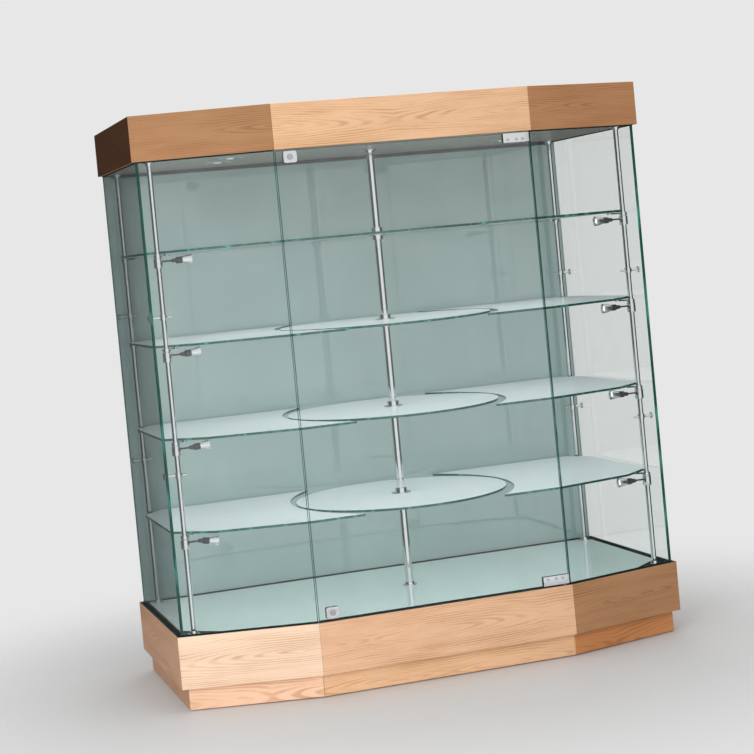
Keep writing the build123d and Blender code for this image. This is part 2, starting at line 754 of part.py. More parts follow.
def make_patch_screws():
    """Socket screws in the outer plates of the pivot patches."""
    patch_x = PATCH_EDGE - PATCH_LENGTH / 2
    face_y = DOOR_OUTER_Y - PATCH_PLATE
    with BuildPart() as screws:
        for height, way in zip(end_heights(0), (1, -1)):
            for offset in SCREW_OFFSETS:
                centre = (patch_x + offset, face_y, height + way * SCREW_RISE)
                with BuildSketch(Plane(origin=centre, z_dir=(0, -1, 0))):
                    Circle(SCREW_RADIUS)
                    RegularPolygon(SCREW_SOCKET, 6, mode=Mode.SUBTRACT)
                extrude(amount=SCREW_HEAD)
    save(screws, "patch_screws")


def make_locks():
    """Both corner locks."""
    make_lock_bodies()
    lower, upper = end_heights(LOCK_RISE)
    make_lock_cylinder("lock_cylinder_lower", lower)
    make_lock_cylinder("lock_cylinder_upper", upper)


def main():
    """Build every piece of the case."""
    os.makedirs("parts", exist_ok=True)
    make_feet_and_plinth()
    make_base()
    make_canopy()
    make_downlights()
    make_glass_walls()
    make_poles()
    make_shelves()
    make_brackets()
    make_connectors()
    make_spotlights()
    make_door_glass()
    make_hinges()
    make_patch_screws()
    make_locks()


main()
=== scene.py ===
"""Looks of the tower display case: oak, polished glass, chrome, door fittings and stage.

Metres, +Z up, front towards -Y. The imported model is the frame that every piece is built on.
"""

import json
import math

import bmesh
import bpy
from bpy.props import FloatProperty, FloatVectorProperty, IntProperty, PointerProperty
from mathutils import Matrix, Vector

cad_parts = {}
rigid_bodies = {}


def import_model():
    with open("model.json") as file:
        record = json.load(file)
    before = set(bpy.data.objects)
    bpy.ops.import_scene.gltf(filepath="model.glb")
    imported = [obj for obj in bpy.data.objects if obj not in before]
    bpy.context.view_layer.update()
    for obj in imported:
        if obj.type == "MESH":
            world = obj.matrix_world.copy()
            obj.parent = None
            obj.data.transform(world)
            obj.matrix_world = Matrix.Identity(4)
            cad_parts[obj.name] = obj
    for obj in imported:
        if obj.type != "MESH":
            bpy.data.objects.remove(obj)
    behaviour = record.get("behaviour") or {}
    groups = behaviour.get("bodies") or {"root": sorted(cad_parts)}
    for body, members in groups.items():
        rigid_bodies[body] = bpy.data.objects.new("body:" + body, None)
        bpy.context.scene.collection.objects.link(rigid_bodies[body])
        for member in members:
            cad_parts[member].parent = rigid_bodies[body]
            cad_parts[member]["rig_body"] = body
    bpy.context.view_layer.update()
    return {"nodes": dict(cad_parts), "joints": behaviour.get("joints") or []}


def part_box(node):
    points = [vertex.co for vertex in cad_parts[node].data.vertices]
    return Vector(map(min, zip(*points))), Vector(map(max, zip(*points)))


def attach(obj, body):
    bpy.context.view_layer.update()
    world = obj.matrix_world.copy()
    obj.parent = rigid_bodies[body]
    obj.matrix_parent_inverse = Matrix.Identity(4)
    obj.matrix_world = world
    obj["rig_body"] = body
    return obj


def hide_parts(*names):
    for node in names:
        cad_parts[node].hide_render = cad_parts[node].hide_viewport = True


bl_info = {
    "name": "Tower display case",
    "version": (1, 0, 0),
    "blender": (4, 5, 0),
    "location": "View3D > Sidebar > Display case",
    "description": "Finishes a bow-fronted glass display case around its packed frame",
    "category": "Add Mesh",
}

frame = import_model()
NODES = frame["nodes"]

MM = 0.001
FULL_TURN = 2 * math.pi

# Faces larger than this, in square metres, are shaded flat
BROAD_AREA = 0.003

# Merging of a node's loose triangles, and the angles in degrees that count as flat or sharp
MERGE_DISTANCE = 0.005 * MM
FLAT_ANGLE = 0.5
SHARP_ANGLE = 30
CORNER_ANGLE = 60

LEVELS = (1, 2, 3, 4)
SIDES = (("left", -1), ("right", 1))
PANES = ("glass_side_left", "glass_facet_left", "glass_facet_right", "glass_side_right")

# Where the front corners bend and where the back boards begin
CORNER_X = 0.456
BACK_Y = 0.40

# Painted light and shade for the left facet, centre, right facet and left side, standing in for how the
# light falls on each, the height that the grain is centred on, and the shift that gives each set of boards
# grain of its own
CANOPY_PAINTED_SHADES = ((0.46, 0.36, 0.25), (0.92, 0.87, 0.80), (0.58, 0.43, 0.30), (0.11, 0.06, 0.03))
BASE_PAINTED_SHADES = ((1.08, 1.20, 1.38), (1.00, 0.94, 0.92), (0.58, 0.46, 0.34), (0.77, 0.68, 0.64))
PLINTH_PAINTED_SHADES = ((1.16, 1.17, 1.28), (1.06, 1.02, 0.94), (0.80, 0.52, 0.29), (0.70, 0.60, 0.54))
CANOPY_GRAIN = (1.905, 3.13)
BASE_GRAIN = (0.17, 7.72)
PLINTH_GRAIN = (0.02, 12.4)

# Fittings
DISC_HOLE_RADIUS = 21.3 * MM
POLE_RADIUS = 9 * MM
COLLAR_REACH = 16 * MM
NECK_REACH = 27 * MM
SPOT_EASE = 0.25 * MM
COLLAR_EASE = 0.3 * MM
STEEL_EASE = 0.3 * MM
PATCH_EASE = 1.2 * MM
CORNER_EDGE = 2 * MM
TRIM_EASE = 0.4 * MM
DOWNLIGHT_EASE = 0.6 * MM
DRIVER_EASE = 1.0 * MM
FOOT_EASE = 0.5 * MM

# The small lamp in each spotlight: its seat, and (radius, height) outlines of its bowl and lens
LAMP_SEAT = 40 * MM
LAMP_STEPS = 32
BOWL_OUTLINE = (
    (0, 0), (5 * MM, 0), (8.5 * MM, 3 * MM), (11.2 * MM, 9 * MM), (12.2 * MM, 15 * MM),
    (11.4 * MM, 15 * MM), (10.4 * MM, 9 * MM), (0, 8 * MM),
)
LENS_OUTLINE = (
    (0, 12.4 * MM), (10.6 * MM, 12.4 * MM), (10.6 * MM, 13.4 * MM), (7 * MM, 14.6 * MM), (0, 15.4 * MM),
)

# Stage lamps: name, place, target, width, height, power and spread in degrees
LAMPS = (
    ("key_light", (-1.9, -2.9, 1.6), (0, 0, 0.9), 1.6, 2.0, 46, 180),
    ("low_light", (-3.0, -2.6, 0.45), (-0.7, -0.3, 0.15), 1.6, 0.6, 22, 180),
    ("top_light", (0.3, -0.4, 3.6), (0, 0, 1.0), 2.4, 1.6, 30, 180),
    ("back_fill", (1.4, 3.8, 1.8), (0.2, 0, 0.9), 2.4, 2.0, 60, 180),
    ("canopy_glow", (0, -0.06, 1.82), (0, -0.06, 0), 1.6, 0.6, 3, 100),
)
FLOOR_RADIUS = 9
FLOOR_STEPS = 96
FLOOR_FADE = (0.6, 2.5)


# ---------------------------------------------------------------- sizes and colours


class CaseSizes(bpy.types.PropertyGroup):
    """Small edge and detail sizes."""

    glass_arris: FloatProperty(
        name="Glass arris", description="Width of the polished bevel on glass edges",
        default=1.0 * MM, unit="LENGTH",
    )
    board_ease: FloatProperty(
        name="Board edge", description="Rounding of the veneered boards' edges",
        default=1.2 * MM, unit="LENGTH",
    )
    metal_ease: FloatProperty(
        name="Metal edge", description="Rounding of small metal parts' edges",
        default=0.5 * MM, unit="LENGTH",
    )
    lock_corner: FloatProperty(
        name="Lock corner", description="Corner radius of the door's square lock cases",
        default=8 * MM, unit="LENGTH",
    )
    round_steps: IntProperty(
        name="Round steps", description="Segments round a turned piece",
        default=96, min=24, max=256,
    )


class CaseColours(bpy.types.PropertyGroup):
    """Colours of the finishes."""

    oak_pale: FloatVectorProperty(
        name="Pale oak", description="Early wood between the growth rings",
        subtype="COLOR", default=(0.82, 0.54, 0.345), min=0, max=1,
    )
    oak_deep: FloatVectorProperty(
        name="Deep oak", description="Late wood of the growth rings",
        subtype="COLOR", default=(0.56, 0.31, 0.16), min=0, max=1,
    )
    glass_tint: FloatVectorProperty(
        name="Glass tint", description="What one face of clear glass lets through",
        subtype="COLOR", default=(0.982, 0.997, 0.991), min=0, max=1,
    )
    glass_edge: FloatVectorProperty(
        name="Glass edge", description="Green seen in a polished glass edge",
        subtype="COLOR", default=(0.004, 0.075, 0.058), min=0, max=1,
    )
    shelf_haze: FloatVectorProperty(
        name="Shelf haze", description="Pale veil on a shelf seen at a low angle",
        subtype="COLOR", default=(0.74, 0.81, 0.84), min=0, max=1,
    )
    deck: FloatVectorProperty(
        name="Deck", description="Paint behind the glossy floor panel",
        subtype="COLOR", default=(0.64, 0.77, 0.765), min=0, max=1,
    )
    back: FloatVectorProperty(
        name="Back panel", description="Tint of the half-mirrored back",
        subtype="COLOR", default=(0.29, 0.39, 0.385), min=0, max=1,
    )
    ceiling: FloatVectorProperty(
        name="Ceiling", description="Laminate under the canopy",
        subtype="COLOR", default=(0.36, 0.335, 0.30), min=0, max=1,
    )
    chrome: FloatVectorProperty(
        name="Chrome", description="Reflection colour of the polished metal",
        subtype="COLOR", default=(0.86, 0.87, 0.88), min=0, max=1,
    )
    backdrop: FloatVectorProperty(
        name="Backdrop", description="Plain studio backdrop",
        subtype="COLOR", default=(0.80, 0.80, 0.80), min=0, max=1,
    )
    floor: FloatVectorProperty(
        name="Floor", description="Plain studio floor",
        subtype="COLOR", default=(0.60, 0.60, 0.605), min=0, max=1,
    )


# ---------------------------------------------------------------- node helpers


class Nodes:
    """Makes nodes in an emptied tree, and sets or links their inputs by name."""

    def __init__(self, owner):
        owner.use_nodes = True
        self.tree = owner.node_tree
        self.tree.nodes.clear()

    def node(self, kind, inputs=None, **settings):
        """Add a node. An input's value is a constant or another node's output socket."""
        made = self.tree.nodes.new("ShaderNode" + kind)
        for key, value in settings.items():
            setattr(made, key, value)
        for key, value in (inputs or {}).items():
            if isinstance(value, bpy.types.NodeSocket):
                self.tree.links.new(value, made.inputs[key])
            else:
                made.inputs[key].default_value = value
        return made

    def maths(self, operation, first, second=0.0):
        """One arithmetic step."""
        return self.node("Math", {0: first, 1: second}, operation=operation).outputs[0]

    def place(self, space="Object"):
        """The surface point's own x, y and z, or a direction's."""
        point = self.node("TexCoord").outputs[space]
        return self.node("SeparateXYZ", {0: point}).outputs

    def point(self, x, y, z=0.0):
        """A coordinate put together from three values."""
        return self.node("CombineXYZ", {0: x, 1: y, 2: z}).outputs[0]

    def own_point(self):
        """The surface point in the piece's own coordinates."""
        return self.node("TexCoord").outputs["Object"]

    def times(self, value, share):
        """One value multiplied by another."""
        return self.maths("MULTIPLY", value, share)

    def noise(self, vector, scale, detail=2.0, roughness=0.5):
        """Noise from 0 to 1."""
        inputs = {"Vector": vector, "Scale": scale, "Detail": detail, "Roughness": roughness}
        return self.node("TexNoise", inputs).outputs[0]

    def spread(self, value, low, high, to_low=0.0, to_high=1.0):
        """Map one range smoothly onto another."""
        inputs = {"Value": value, 1: low, 2: high, 3: to_low, 4: to_high}
        return self.node("MapRange", inputs, interpolation_type="SMOOTHSTEP").outputs[0]

    def blend(self, factor, first, second, mode="MIX"):
        """Mix two colours."""
        made = self.node("Mix", {0: factor}, data_type="RGBA", blend_type=mode)
        for socket, value in ((made.inputs[6], first), (made.inputs[7], second)):
            if isinstance(value, bpy.types.NodeSocket):
                self.tree.links.new(value, socket)
            else:
                socket.default_value = value
        return made.outputs[2]

    def mix(self, factor, first, second):
        """Mix two shaders."""
        return self.node("MixShader", {0: factor, 1: first, 2: second}).outputs[0]

    def bump(self, height, strength, distance):
        """A normal that shows fine relief."""
        inputs = {"Height": height, "Strength": strength, "Distance": distance}
        return self.node("Bump", inputs).outputs[0]


class Finish(Nodes):
    """A material being built."""

    def __init__(self, name):
        self.material = bpy.data.materials.new(name)
        super().__init__(self.material)

    def principled(self, inputs):
        """The main shader."""
        return self.node("BsdfPrincipled", inputs).outputs[0]

    def done(self, shader):
        """Connect the output and return the material."""
        self.node("OutputMaterial", {0: shader})
        return self.material


def opaque(colour):
    """A colour with full alpha."""
    return (colour[0], colour[1], colour[2], 1.0)


def scaled(colour, share):
    """A colour made lighter or darker, with full alpha."""
    return tuple(share * part for part in colour[:3]) + (1.0,)


# ---------------------------------------------------------------- materials


def oak_finish(name, colours, painted_facet_shades, grain):
    """Satin-lacquered oak veneer with cathedral grain that runs along each board.

    The four shades are painted light and shade for the left facet, centre, right facet and left side,
    standing in for how the light falls on each. grain is the height that the pattern is centred on,
    and its shift along the boards.
    """
    grain_centre, phase = grain
    finish = Finish(name)
    x, y, z = finish.place()
    normal = finish.node("SeparateXYZ", {0: finish.node("NewGeometry").outputs["Normal"]}).outputs
    on_side = finish.maths("GREATER_THAN", finish.maths("ABSOLUTE", normal[0]), 0.7)
    along = finish.node("Mix", {0: on_side, 2: x, 3: y}).outputs[0]
    depth = finish.node("Mix", {0: on_side, 2: y, 3: x}).outputs[0]
    shifted = finish.maths("ADD", along, phase)

    # Growth rings of a log whose axis leans slightly to the board
    drift = finish.noise(finish.point(finish.times(shifted, 0.22), z, phase), 7, 3)
    sway = finish.times(finish.maths("SUBTRACT", drift, 0.5), 0.05)
    height = finish.maths("ADD", finish.maths("SUBTRACT", z, grain_centre), sway)
    turn_back = finish.maths("PINGPONG", shifted, 0.62)
    lean = finish.times(finish.maths("SUBTRACT", turn_back, 0.2), 0.085)
    waved = finish.maths("ADD", lean, finish.times(sway, 0.3))
    radius = finish.node("VectorMath", {0: finish.point(height, waved)}, operation="LENGTH").outputs[1]
    rings = finish.maths("SINE", finish.times(radius, 900))
    strong = finish.spread(finish.noise(finish.point(finish.times(shifted, 0.1), z), 40, 2), 0.3, 0.7)
    ring = finish.times(finish.spread(rings, -0.5, 1.0), strong)

    # Fibres, pores and broad changes of tone
    fibre_point = finish.point(finish.times(shifted, 0.02), z, depth)
    fibres = finish.noise(fibre_point, 520, 3, 0.6)
    pore_point = finish.point(finish.times(shifted, 0.05), z, depth)
    pores = finish.spread(finish.noise(pore_point, 900, 1), 0.60, 0.70)
    broad = finish.noise(finish.point(finish.times(shifted, 0.25), z, phase), 14, 2)

    share = finish.maths("ADD", finish.times(ring, 0.48), finish.times(fibres, 0.38))
    share = finish.maths("ADD", share, finish.times(finish.maths("SUBTRACT", broad, 0.5), 0.7))
    wood = finish.blend(finish.spread(share, 0.05, 0.85), opaque(colours.oak_pale), opaque(colours.oak_deep))
    wood = finish.blend(finish.times(pores, 0.22), wood, scaled(colours.oak_deep, 0.6))

    # Painted light and shade: the left facet, centre, right facet and left side each take their own shade,
    # standing in for how the light falls on them
    left, centre, right, side = painted_facet_shades
    not_back = finish.maths("LESS_THAN", y, BACK_Y)
    to_right = finish.times(finish.maths("GREATER_THAN", x, CORNER_X), not_back)
    to_left = finish.times(finish.maths("LESS_THAN", x, -CORNER_X), not_back)
    on_left_side = finish.times(on_side, finish.maths("LESS_THAN", x, 0))
    painted_shade = finish.blend(to_left, opaque(centre), opaque(left))
    painted_shade = finish.blend(to_right, painted_shade, opaque(right))
    painted_shade = finish.blend(on_left_side, painted_shade, opaque(side))
    wood = finish.blend(1.0, wood, painted_shade, "MULTIPLY")

    relief = finish.maths("SUBTRACT", fibres, finish.times(pores, 0.8))
    return finish.done(finish.principled({
        "Base Color": wood,
        "Roughness": finish.spread(fibres, 0.2, 0.8, 0.40, 0.54),
        "Normal": finish.bump(relief, 0.25, 0.2 * MM),
        "IOR": 1.45,
    }))


def clear_for_light(finish, shader, tint):
    """Glass as the eye meets it, but clear for lamps and for light on its way between pieces."""
    path = finish.node("LightPath").outputs
    passing = finish.maths("MAXIMUM", path["Is Shadow Ray"], path["Is Diffuse Ray"])
    clear = finish.node("BsdfTransparent", {"Color": tint}).outputs[0]
    return finish.done(finish.mix(passing, shader, clear))


def smooth_glass(finish, tint):
    """Plain polished glass."""
    return finish.principled({
        "Base Color": tint, "Roughness": 0.0, "IOR": 1.42, "Transmission Weight": 1.0,
    })


def glass_finish(colours):
    """Clear toughened glass with a trace of dust."""
    finish = Finish("clear_glass")
    tint = opaque(colours.glass_tint)
    point = finish.own_point()
    smears = finish.spread(finish.noise(point, 5, 4, 0.6), 0.45, 0.75, 0.004, 0.022)
    dust = finish.node("BsdfDiffuse", {"Color": (0.75, 0.80, 0.80, 1)}).outputs[0]
    return clear_for_light(finish, finish.mix(smears, smooth_glass(finish, tint), dust), tint)


def shelf_finish(colours):
    """Shelf glass, which veils over when it is seen at a low angle."""
    finish = Finish("shelf_glass")
    tint = opaque(colours.glass_tint)
    point = finish.own_point()
    uneven = finish.spread(finish.noise(point, 4, 3), 0.3, 0.7, 0.94, 1.0)
    facing = finish.node("LayerWeight", {"Blend": 0.5}).outputs["Facing"]
    gathering = finish.times(finish.spread(facing, 0.68, 0.85, 0.03, 0.86), uneven)
    veil = finish.times(gathering, finish.spread(facing, 0.87, 0.95, 1.0, 0.62))
    haze = finish.node("BsdfDiffuse", {"Color": opaque(colours.shelf_haze)}).outputs[0]
    return clear_for_light(finish, finish.mix(veil, smooth_glass(finish, tint), haze), tint)


def edge_finish(colours):
    """Polished glass edge: deep green with brighter streaks along it."""
    finish = Finish("glass_edge")
    x, y, z = finish.place()
    streaks = finish.noise(finish.point(x, y, finish.times(z, 0.15)), 60, 2)
    pale = (0.05, 0.36, 0.28, 1)
    green = finish.blend(finish.spread(streaks, 0.5, 0.8), opaque(colours.glass_edge), pale)
    return finish.done(finish.principled({
        "Base Color": green, "Roughness": finish.spread(streaks, 0.2, 0.8, 0.06, 0.2), "IOR": 1.52,
        "Coat Weight": 0.4,
    }))


def deck_finish(colours):
    """Back-painted glass: even colour under a high gloss."""
    finish = Finish("deck_glass")
    point = finish.own_point()
    cloud = finish.spread(finish.noise(point, 3, 2), 0.3, 0.7)
    paint = finish.blend(cloud, scaled(colours.deck, 0.97), scaled(colours.deck, 1.03))
    wear = finish.spread(finish.noise(point, 40, 3), 0.4, 0.8, 0.015, 0.05)
    return finish.done(finish.principled({"Base Color": paint, "Roughness": wear, "IOR": 1.5}))


def back_finish(colours):
    """Grey-green half-mirror."""
    finish = Finish("tinted_back")
    point = finish.own_point()
    cloud = finish.spread(finish.noise(point, 2, 2), 0.3, 0.7)
    paint = finish.blend(cloud, scaled(colours.back, 0.97), scaled(colours.back, 1.03))
    wear = finish.spread(finish.noise(point, 30, 3), 0.4, 0.8, 0.01, 0.03)
    return finish.done(finish.principled({"Base Color": paint, "Roughness": wear, "IOR": 1.8}))


def chrome_finish(name, colours, shade=1.0, roughness=0.05):
    """Polished plating with the faint cloud of wiping marks."""
    finish = Finish(name)
    point = finish.own_point()
    cloud = finish.noise(point, 70, 4, 0.6)
    plate = finish.blend(cloud, scaled(colours.chrome, 0.94 * shade), scaled(colours.chrome, shade))
    return finish.done(finish.principled({
        "Base Color": plate, "Metallic": 1.0,
        "Roughness": finish.spread(cloud, 0.3, 0.8, roughness, roughness + 0.05),
    }))


def steel_finish():
    """Turned and ground steel with fine marks."""
    finish = Finish("machined_steel")
    x, y, z = finish.place()
    marks = finish.noise(finish.point(x, y, finish.times(z, 8)), 500, 2)
    metal = finish.blend(marks, (0.42, 0.43, 0.44, 1), (0.62, 0.63, 0.64, 1))
    return finish.done(finish.principled({
        "Base Color": metal, "Metallic": 1.0, "Roughness": finish.spread(marks, 0.2, 0.8, 0.2, 0.35),
        "Normal": finish.bump(marks, 0.1, 0.05 * MM),
    }))


def plain_finish(name, low, high, scale, roughness, relief=0.1, **extra):
    """Moulded, painted or pressed stuff: a mottled colour with a fine grain."""
    finish = Finish(name)
    point = finish.own_point()
    grain = finish.noise(point, scale, 4, 0.6)
    inputs = {
        "Base Color": finish.blend(finish.spread(grain, 0.3, 0.7), low + (1.0,), high + (1.0,)),
        "Roughness": finish.spread(grain, 0.2, 0.8, roughness, roughness + 0.12),
        "Normal": finish.bump(grain, relief, 0.1 * MM),
    }
    inputs.update(extra)
    return finish.done(finish.principled(inputs))


def lens_finish(name, glow):
    """Frosted lamp glass that gives a soft light of its own."""
    finish = Finish(name)
    point = finish.own_point()
    frost = finish.noise(point, 400, 2)
    return finish.done(finish.principled({
        "Base Color": finish.blend(frost, (0.80, 0.80, 0.76, 1), (0.95, 0.95, 0.92, 1)),
        "Roughness": finish.spread(frost, 0.2, 0.8, 0.15, 0.35),
        "Emission Color": (1.0, 0.97, 0.9, 1), "Emission Strength": glow,
        "Coat Weight": 0.5,
    }))


def make_finishes(colours):
    """Every material of the case, by name."""
    return {
        "oak_canopy": oak_finish("oak_canopy", colours, CANOPY_PAINTED_SHADES, CANOPY_GRAIN),
        "oak_base": oak_finish("oak_base", colours, BASE_PAINTED_SHADES, BASE_GRAIN),
        "oak_plinth": oak_finish("oak_plinth", colours, PLINTH_PAINTED_SHADES, PLINTH_GRAIN),
        "clear_glass": glass_finish(colours),
        "shelf_glass": shelf_finish(colours),
        "glass_edge": edge_finish(colours),
        "deck_glass": deck_finish(colours),
        "tinted_back": back_finish(colours),
        "polished_chrome": chrome_finish("polished_chrome", colours),
        "satin_chrome": chrome_finish("satin_chrome", colours, 0.9, 0.16),
        "dark_chrome": chrome_finish("dark_chrome", colours, 0.10, 0.12),
        "lamp_chrome": chrome_finish("lamp_chrome", colours, 1.05, 0.08),
        "machined_steel": steel_finish(),
        "gasket_rubber": plain_finish(
            "gasket_rubber", (0.004, 0.004, 0.004), (0.012, 0.012, 0.012), 300, 0.45,
        ),
        "foot_plastic": plain_finish("foot_plastic", (0.010, 0.010, 0.010), (0.025, 0.025, 0.025), 400, 0.5),
        "driver_plastic": plain_finish("driver_plastic", (0.70, 0.70, 0.69), (0.80, 0.80, 0.79), 500, 0.4),
        "black_board": plain_finish("black_board", (0.006, 0.006, 0.006), (0.014, 0.013, 0.012), 250, 0.45),
        "board_core": plain_finish("board_core", (0.20, 0.13, 0.075), (0.46, 0.34, 0.21), 260, 0.7, 0.4),
        "ceiling_laminate": plain_finish(
            "ceiling_laminate", scaled(colours.ceiling, 0.92)[:3], scaled(colours.ceiling, 1.05)[:3],
            120, 0.25,
        ),
        "rail_metal": plain_finish("rail_metal", (0.06, 0.06, 0.06), (0.10, 0.10, 0.10), 300, 0.3),
        "lamp_lens": lens_finish("lamp_lens", 1.5),
    }


FINISHES = {}


def finish_named(name):
    """A material, with all of them made on the first call."""
    if not FINISHES:
        FINISHES.update(make_finishes(bpy.context.scene.case_colours))
    return FINISHES[name]


# ---------------------------------------------------------------- mesh helpers


def body_of(node_name):
    """The CAD body that a node belongs to."""
    return NODES[node_name]["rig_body"]


def add_piece(name, shape, materials, body):
    """Turn a finished bmesh into a piece that rides on a body, with its broad faces flat."""
    mesh = bpy.data.meshes.new(name)
    shape.to_mesh(mesh)
    shape.free()
    for material in materials:
        mesh.materials.append(finish_named(material))
    mesh.set_sharp_from_angle(angle=math.radians(SHARP_ANGLE))
    for face in mesh.polygons:
        face.use_smooth = face.area < BROAD_AREA
    piece = bpy.data.objects.new(name, mesh)
    bpy.context.scene.collection.objects.link(piece)
    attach(piece, body)
    return piece


def add_finished(node_name, suffix, shape, materials):
    """Turn a bmesh into the piece that stands for a CAD node."""
    name = f"{node_name}_{suffix}"
    piece = add_piece(name, shape, materials, body_of(node_name))
    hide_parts(node_name)


def merged_copy(node_name):
    """A node's shape with its triangles joined and its flat faces made whole."""
    shape = bmesh.new()
    shape.from_mesh(NODES[node_name].data)
    bmesh.ops.remove_doubles(shape, verts=shape.verts, dist=MERGE_DISTANCE)
    bmesh.ops.dissolve_limit(
        shape, angle_limit=math.radians(FLAT_ANGLE), verts=shape.verts, edges=shape.edges,
    )
    return shape


def sharp_edges(shape, angle=SHARP_ANGLE):
    """Edges where two faces meet at more than the angle."""
    limit = math.radians(angle)
    return [edge for edge in shape.edges if len(edge.link_faces) == 2 and edge.calc_face_angle() > limit]


def ease(shape, edges, width, segments):
    """Bevel edges to a small round or chamfer."""
    bmesh.ops.bevel(
        shape, geom=edges, offset=width, offset_type="OFFSET", segments=segments, profile=0.5,
        affect="EDGES", clamp_overlap=True, material=-1,
    )


def pick_material(shape, second):
    """Give the second material to the faces that second picks, and the first to the rest."""
    for face in shape.faces:
        face.material_index = int(second(face))


def eased_piece(node_name, materials, width, segments=2, second=None):
    """A copy of a CAD node with eased edges, which stands for it.

    second picks the faces that take the second material.
    """
    shape = merged_copy(node_name)
    ease(shape, sharp_edges(shape), width, segments)
    if second:
        pick_material(shape, second)
    add_finished(node_name, "finished", shape, materials)


def is_hidden_side(face):
    """True for a board's level top and for its face towards the middle of the case."""
    middle = face.calc_center_median()
    return face.normal.z > 0.95 or middle.x * face.normal.x + middle.y * face.normal.y < -0.1


def is_rim(face):
    """True for the edge of a plate that faces the front or back."""
    return abs(face.normal.y) < 0.8


def is_upright(face):
    """True for a face round the edge of a level panel."""
    return abs(face.normal.z) < 0.95


def broad_axis(shape):
    """The direction that most of a panel's area faces."""
    largest = max(shape.faces, key=lambda face: face.calc_area())
    return largest.normal.copy()


def glass_piece(node_name, face_material, width):
    """A pane or shelf: clear faces, and green polished edges with an arris."""
    shape = merged_copy(node_name)
    axis = broad_axis(shape)
    ease(shape, sharp_edges(shape, CORNER_ANGLE), width, 1)
    pick_material(shape, lambda face: abs(face.normal.dot(axis)) <= 0.95)
    add_finished(node_name, "polished", shape, (face_material, "glass_edge"))


def turn(shape, outline, origin, direction, steps, material_index=0):
    """Spin an outline of (radius, height) points about an axis, closed on itself."""
    axis = Vector(direction).normalized()
    aside = axis.orthogonal().normalized()
    start = [Vector(origin) + radius * aside + height * axis for radius, height in outline]
    points = [shape.verts.new(place) for place in start]
    runs = [shape.edges.new((first, second)) for first, second in zip(points, points[1:])]
    if outline[0][0] > 0:
        runs.append(shape.edges.new((points[-1], points[0])))
    known = set(shape.faces)
    bmesh.ops.spin(
        shape, geom=points + runs, cent=origin, axis=axis, angle=FULL_TURN, steps=steps, use_merge=True,
    )
    made = [face for face in shape.faces if face not in known]
    verts = list({vert for face in made for vert in face.verts})
    bmesh.ops.remove_doubles(shape, verts=verts, dist=0.001 * MM)
    made = [face for face in shape.faces if face not in known]
    bmesh.ops.recalc_face_normals(shape, faces=made)
    for face in made:
        face.material_index = material_index
    return made


def set_material(node_name, material):
    """Give a CAD node that stays its finish."""
    for slot in NODES[node_name].material_slots:
        slot.material = finish_named(material)


def middle_of(node_name):
    """Centre of a node's box."""
    low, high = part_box(node_name)
    return (low + high) / 2


def pole_feet(node_name):
    """Where the poles of a node stand, and their radius: the centre pole, or one on each side."""
    low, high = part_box(node_name)
    radius = (high.y - low.y) / 2
    reach = high.x - radius
    places = (0,) if node_name == "pole_centre" else [side * reach for _, side in SIDES]
    return [Vector((place, (low.y + high.y) / 2, low.z)) for place in places], radius


# ---------------------------------------------------------------- operators


class BuildWoodwork(bpy.types.Operator):
    """Veneered fascia boards, plinth and the boards inside them"""

    bl_idname = "display_case.woodwork"
    bl_label = "Woodwork"

    def execute(self, context):
        width = context.scene.case_sizes.board_ease
        for board in ("front_board", "facet_boards", "side_boards", "back_board"):
            eased_piece(f"base_{board}", ("oak_base", "black_board"), width, second=is_hidden_side)
            eased_piece(f"canopy_{board}", ("oak_canopy",), width)
        eased_piece("plinth_frame", ("oak_plinth",), width)
        set_material("base_bottom_board", "board_core")
        set_material("canopy_top_board", "board_core")
        set_material("base_floor_board", "black_board")
        set_material("ceiling_board", "ceiling_laminate")
        return {"FINISHED"}


class BuildGlass(bpy.types.Operator):
    """Panes, door pane and shelves with polished green edges"""

    bl_idname = "display_case.glass"
    bl_label = "Glass"

    def execute(self, context):
        sizes = context.scene.case_sizes
        for pane in PANES + ("door_glass",):
            glass_piece(pane, "clear_glass", sizes.glass_arris)
        for level in LEVELS:
            for side, _ in SIDES:
                glass_piece(f"shelf_{side}_{level}", "shelf_glass", sizes.glass_arris)
            self.make_disc(level, sizes)
        return {"FINISHED"}

    def make_disc(self, level, sizes):
        """A round shelf with a hole for its hub."""
        node_name = f"shelf_disc_{level}"
        low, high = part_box(node_name)
        outer = (high.x - low.x) / 2
        thick = high.z - low.z
        arris = sizes.glass_arris
        shape = bmesh.new()
        outline = (
            (DISC_HOLE_RADIUS, 0), (outer - arris, 0), (outer, arris), (outer, thick - arris),
            (outer - arris, thick), (DISC_HOLE_RADIUS, thick),
        )
        origin = Vector((0, (low.y + high.y) / 2, low.z))
        turn(shape, outline, origin, (0, 0, 1), 2 * sizes.round_steps)
        pick_material(shape, is_upright)
        add_finished(node_name, "polished", shape, ("shelf_glass", "glass_edge"))


class BuildPanels(bpy.types.Operator):
    """Glossy deck, half-mirror back, its rail and the rubber channels"""

    bl_idname = "display_case.panels"
    bl_label = "Deck and back"

    def execute(self, context):
        arris = context.scene.case_sizes.glass_arris
        eased_piece("deck_panel", ("deck_glass", "black_board"), arris, 1, second=is_upright)
        eased_piece("back_panel", ("tinted_back",), arris, 1)
        eased_piece("back_panel_rail", ("rail_metal",), arris, 2)
        set_material("glass_gaskets", "gasket_rubber")
        return {"FINISHED"}


